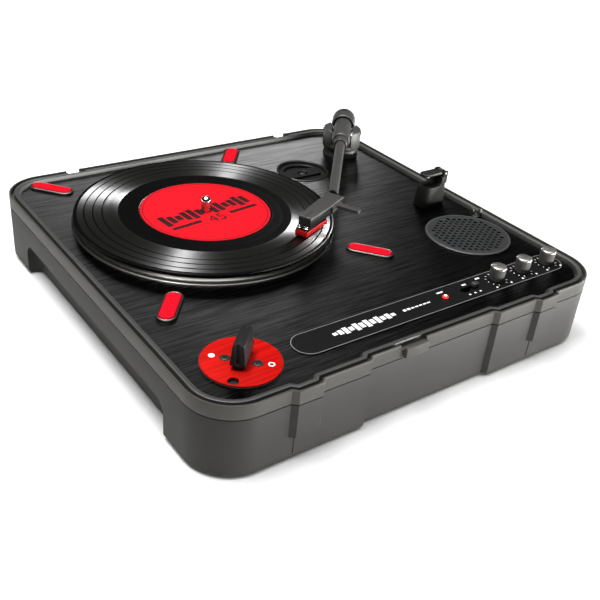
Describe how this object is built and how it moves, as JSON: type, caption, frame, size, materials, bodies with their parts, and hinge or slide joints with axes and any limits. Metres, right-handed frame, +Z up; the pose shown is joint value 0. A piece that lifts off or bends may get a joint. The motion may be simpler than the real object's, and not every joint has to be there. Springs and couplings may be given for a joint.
{
  "type": "portable record player",
  "caption": "Portable belt-driven record player in a shallow case, with a pivoting tonearm, built-in speaker, cut switch and rotary controls.",
  "frame": {"origin": "on the floor under the middle of the case", "axes": "+X to the right along the front, +Y to the back, +Z up"},
  "size_m": [0.297, 0.2992, 0.0746],
  "materials": {
    "upper_case": "satin",
    "lower_case": "satin",
    "bezel": "brushed",
    "deck": "brushed black",
    "inlay": "satin",
    "bright_trim": "polished",
    "platter_metal": "satin",
    "pad_red": "matte",
    "black_plastic": "satin",
    "steel": "polished",
    "slipmat_felt": "matte",
    "vinyl": "gloss",
    "label_paper": "matte",
    "rubber": "matte",
    "arm_metal": "satin",
    "weight_metal": "satin",
    "stylus_red": "satin",
    "switch_red": "brushed",
    "knob_metal": "satin",
    "led_red": "gloss",
    "grille_metal": "satin",
    "cone_paper": "matte",
    "board_green": "satin"
  },
  "bodies": {
    "chassis": {"upper_frame": "upper_case", "latch_tab": "upper_case", "lower_shell": "lower_case", "battery_cover": "lower_case", "deck_bezel": "bezel", "deck_plate": "deck", "control_inlay": "inlay", "pad_trim_1": "bright_trim", "pad_trim_2": "bright_trim", "pad_trim_3": "bright_trim", "pad_trim_4": "bright_trim", "platter_trim": "bright_trim", "adapter_cup": "bright_trim", "side_tabs": "bright_trim", "support_pad_1": "pad_red", "support_pad_2": "pad_red", "support_pad_3": "pad_red", "support_pad_4": "pad_red", "platter_well": "black_plastic", "switch_screw_1": "black_plastic", "switch_screw_2": "black_plastic", "speaker_frame": "black_plastic", "jack_plate": "black_plastic", "bearing_bush": "steel", "motor": "steel", "speaker_magnet": "steel", "drive_belt": "rubber", "foot_1": "rubber", "foot_2": "rubber", "foot_3": "rubber", "foot_4": "rubber", "arm_base": "arm_metal", "arm_rest_post": "arm_metal", "switch_disc": "switch_red", "power_led": "led_red", "speaker_grille": "grille_metal", "speaker_cone": "cone_paper", "circuit_board": "board_green"},
    "platter_body": {"platter": "platter_metal", "spindle": "steel", "slipmat": "slipmat_felt", "record": "vinyl", "record_label": "label_paper"},
    "pulley_body": {"motor_pulley": "steel"},
    "turret": {"arm_yoke": "arm_metal"},
    "tonearm": {"arm_housing": "arm_metal", "arm_tube": "arm_metal", "headshell": "arm_metal", "finger_lift": "arm_metal", "cartridge": "black_plastic", "cartridge_pins": "steel", "stylus_holder": "stylus_red"},
    "weight": {"counterweight": "weight_metal"},
    "rest_clip": {"arm_rest_clip": "arm_metal"},
    "adapter": {"adapter_45": "bright_trim"},
    "paddle": {"switch_paddle": "black_plastic"},
    "volume": {"volume_knob": "knob_metal"},
    "tone": {"tone_knob": "knob_metal"},
    "pitch": {"pitch_knob": "knob_metal"},
    "speed": {"speed_slider": "knob_metal"}
  },
  "joints": [
    {"name": "platter_spin", "type": "hinge", "parent": "chassis", "child": "platter_body", "pos_m": [-0.043, 0.0414, 0.048], "axis": [0, 0, 1], "continuous": true},
    {"name": "motor_spin", "type": "hinge", "parent": "chassis", "child": "pulley_body", "pos_m": [-0.09674, 0.09514, 0.044], "axis": [0, 0, 1], "continuous": true},
    {"name": "arm_swing", "type": "hinge", "parent": "chassis", "child": "turret", "pos_m": [0.1195, 0.1, 0.065], "axis": [0, 0, 1], "range_deg": [-12, 40.8]},
    {"name": "arm_lift", "type": "hinge", "parent": "turret", "child": "tonearm", "pos_m": [0.1195, 0.1, 0.065], "axis": [-0.757, 0.6534, 0], "range_deg": [0, 8]},
    {"name": "weight_slide", "type": "slide", "parent": "tonearm", "child": "weight", "axis": [-0.6534, -0.757, 0], "range_m": [-0.002, 0.001]},
    {"name": "clip_hinge", "type": "hinge", "parent": "chassis", "child": "rest_clip", "pos_m": [0.1276, -0.008, 0.0699], "axis": [0, 1, 0], "range_deg": [0, 100]},
    {"name": "adapter_lift", "type": "slide", "parent": "chassis", "child": "adapter", "axis": [0, 0, 1], "range_m": [0, 0.012]},
    {"name": "switch_tilt", "type": "hinge", "parent": "chassis", "child": "paddle", "pos_m": [-0.1093, -0.1106, 0.0505], "axis": [0.7071, 0.7071, 0], "range_deg": [-12, 12]},
    {"name": "volume_turn", "type": "hinge", "parent": "chassis", "child": "volume", "pos_m": [0.0803, -0.1142, 0.05], "axis": [0, 0, 1], "range_deg": [-150, 150]},
    {"name": "tone_turn", "type": "hinge", "parent": "chassis", "child": "tone", "pos_m": [0.1043, -0.1142, 0.05], "axis": [0, 0, 1], "range_deg": [-150, 150]},
    {"name": "pitch_turn", "type": "hinge", "parent": "chassis", "child": "pitch", "pos_m": [0.1283, -0.1142, 0.05], "axis": [0, 0, 1], "range_deg": [-150, 150]},
    {"name": "speed_shift", "type": "slide", "parent": "chassis", "child": "speed", "axis": [1, 0, 0], "range_m": [-0.0092, 0]}
  ],
  "couplings": [
    {"joint": "motor_spin", "follows": "platter_spin", "ratio": 12}
  ]
}
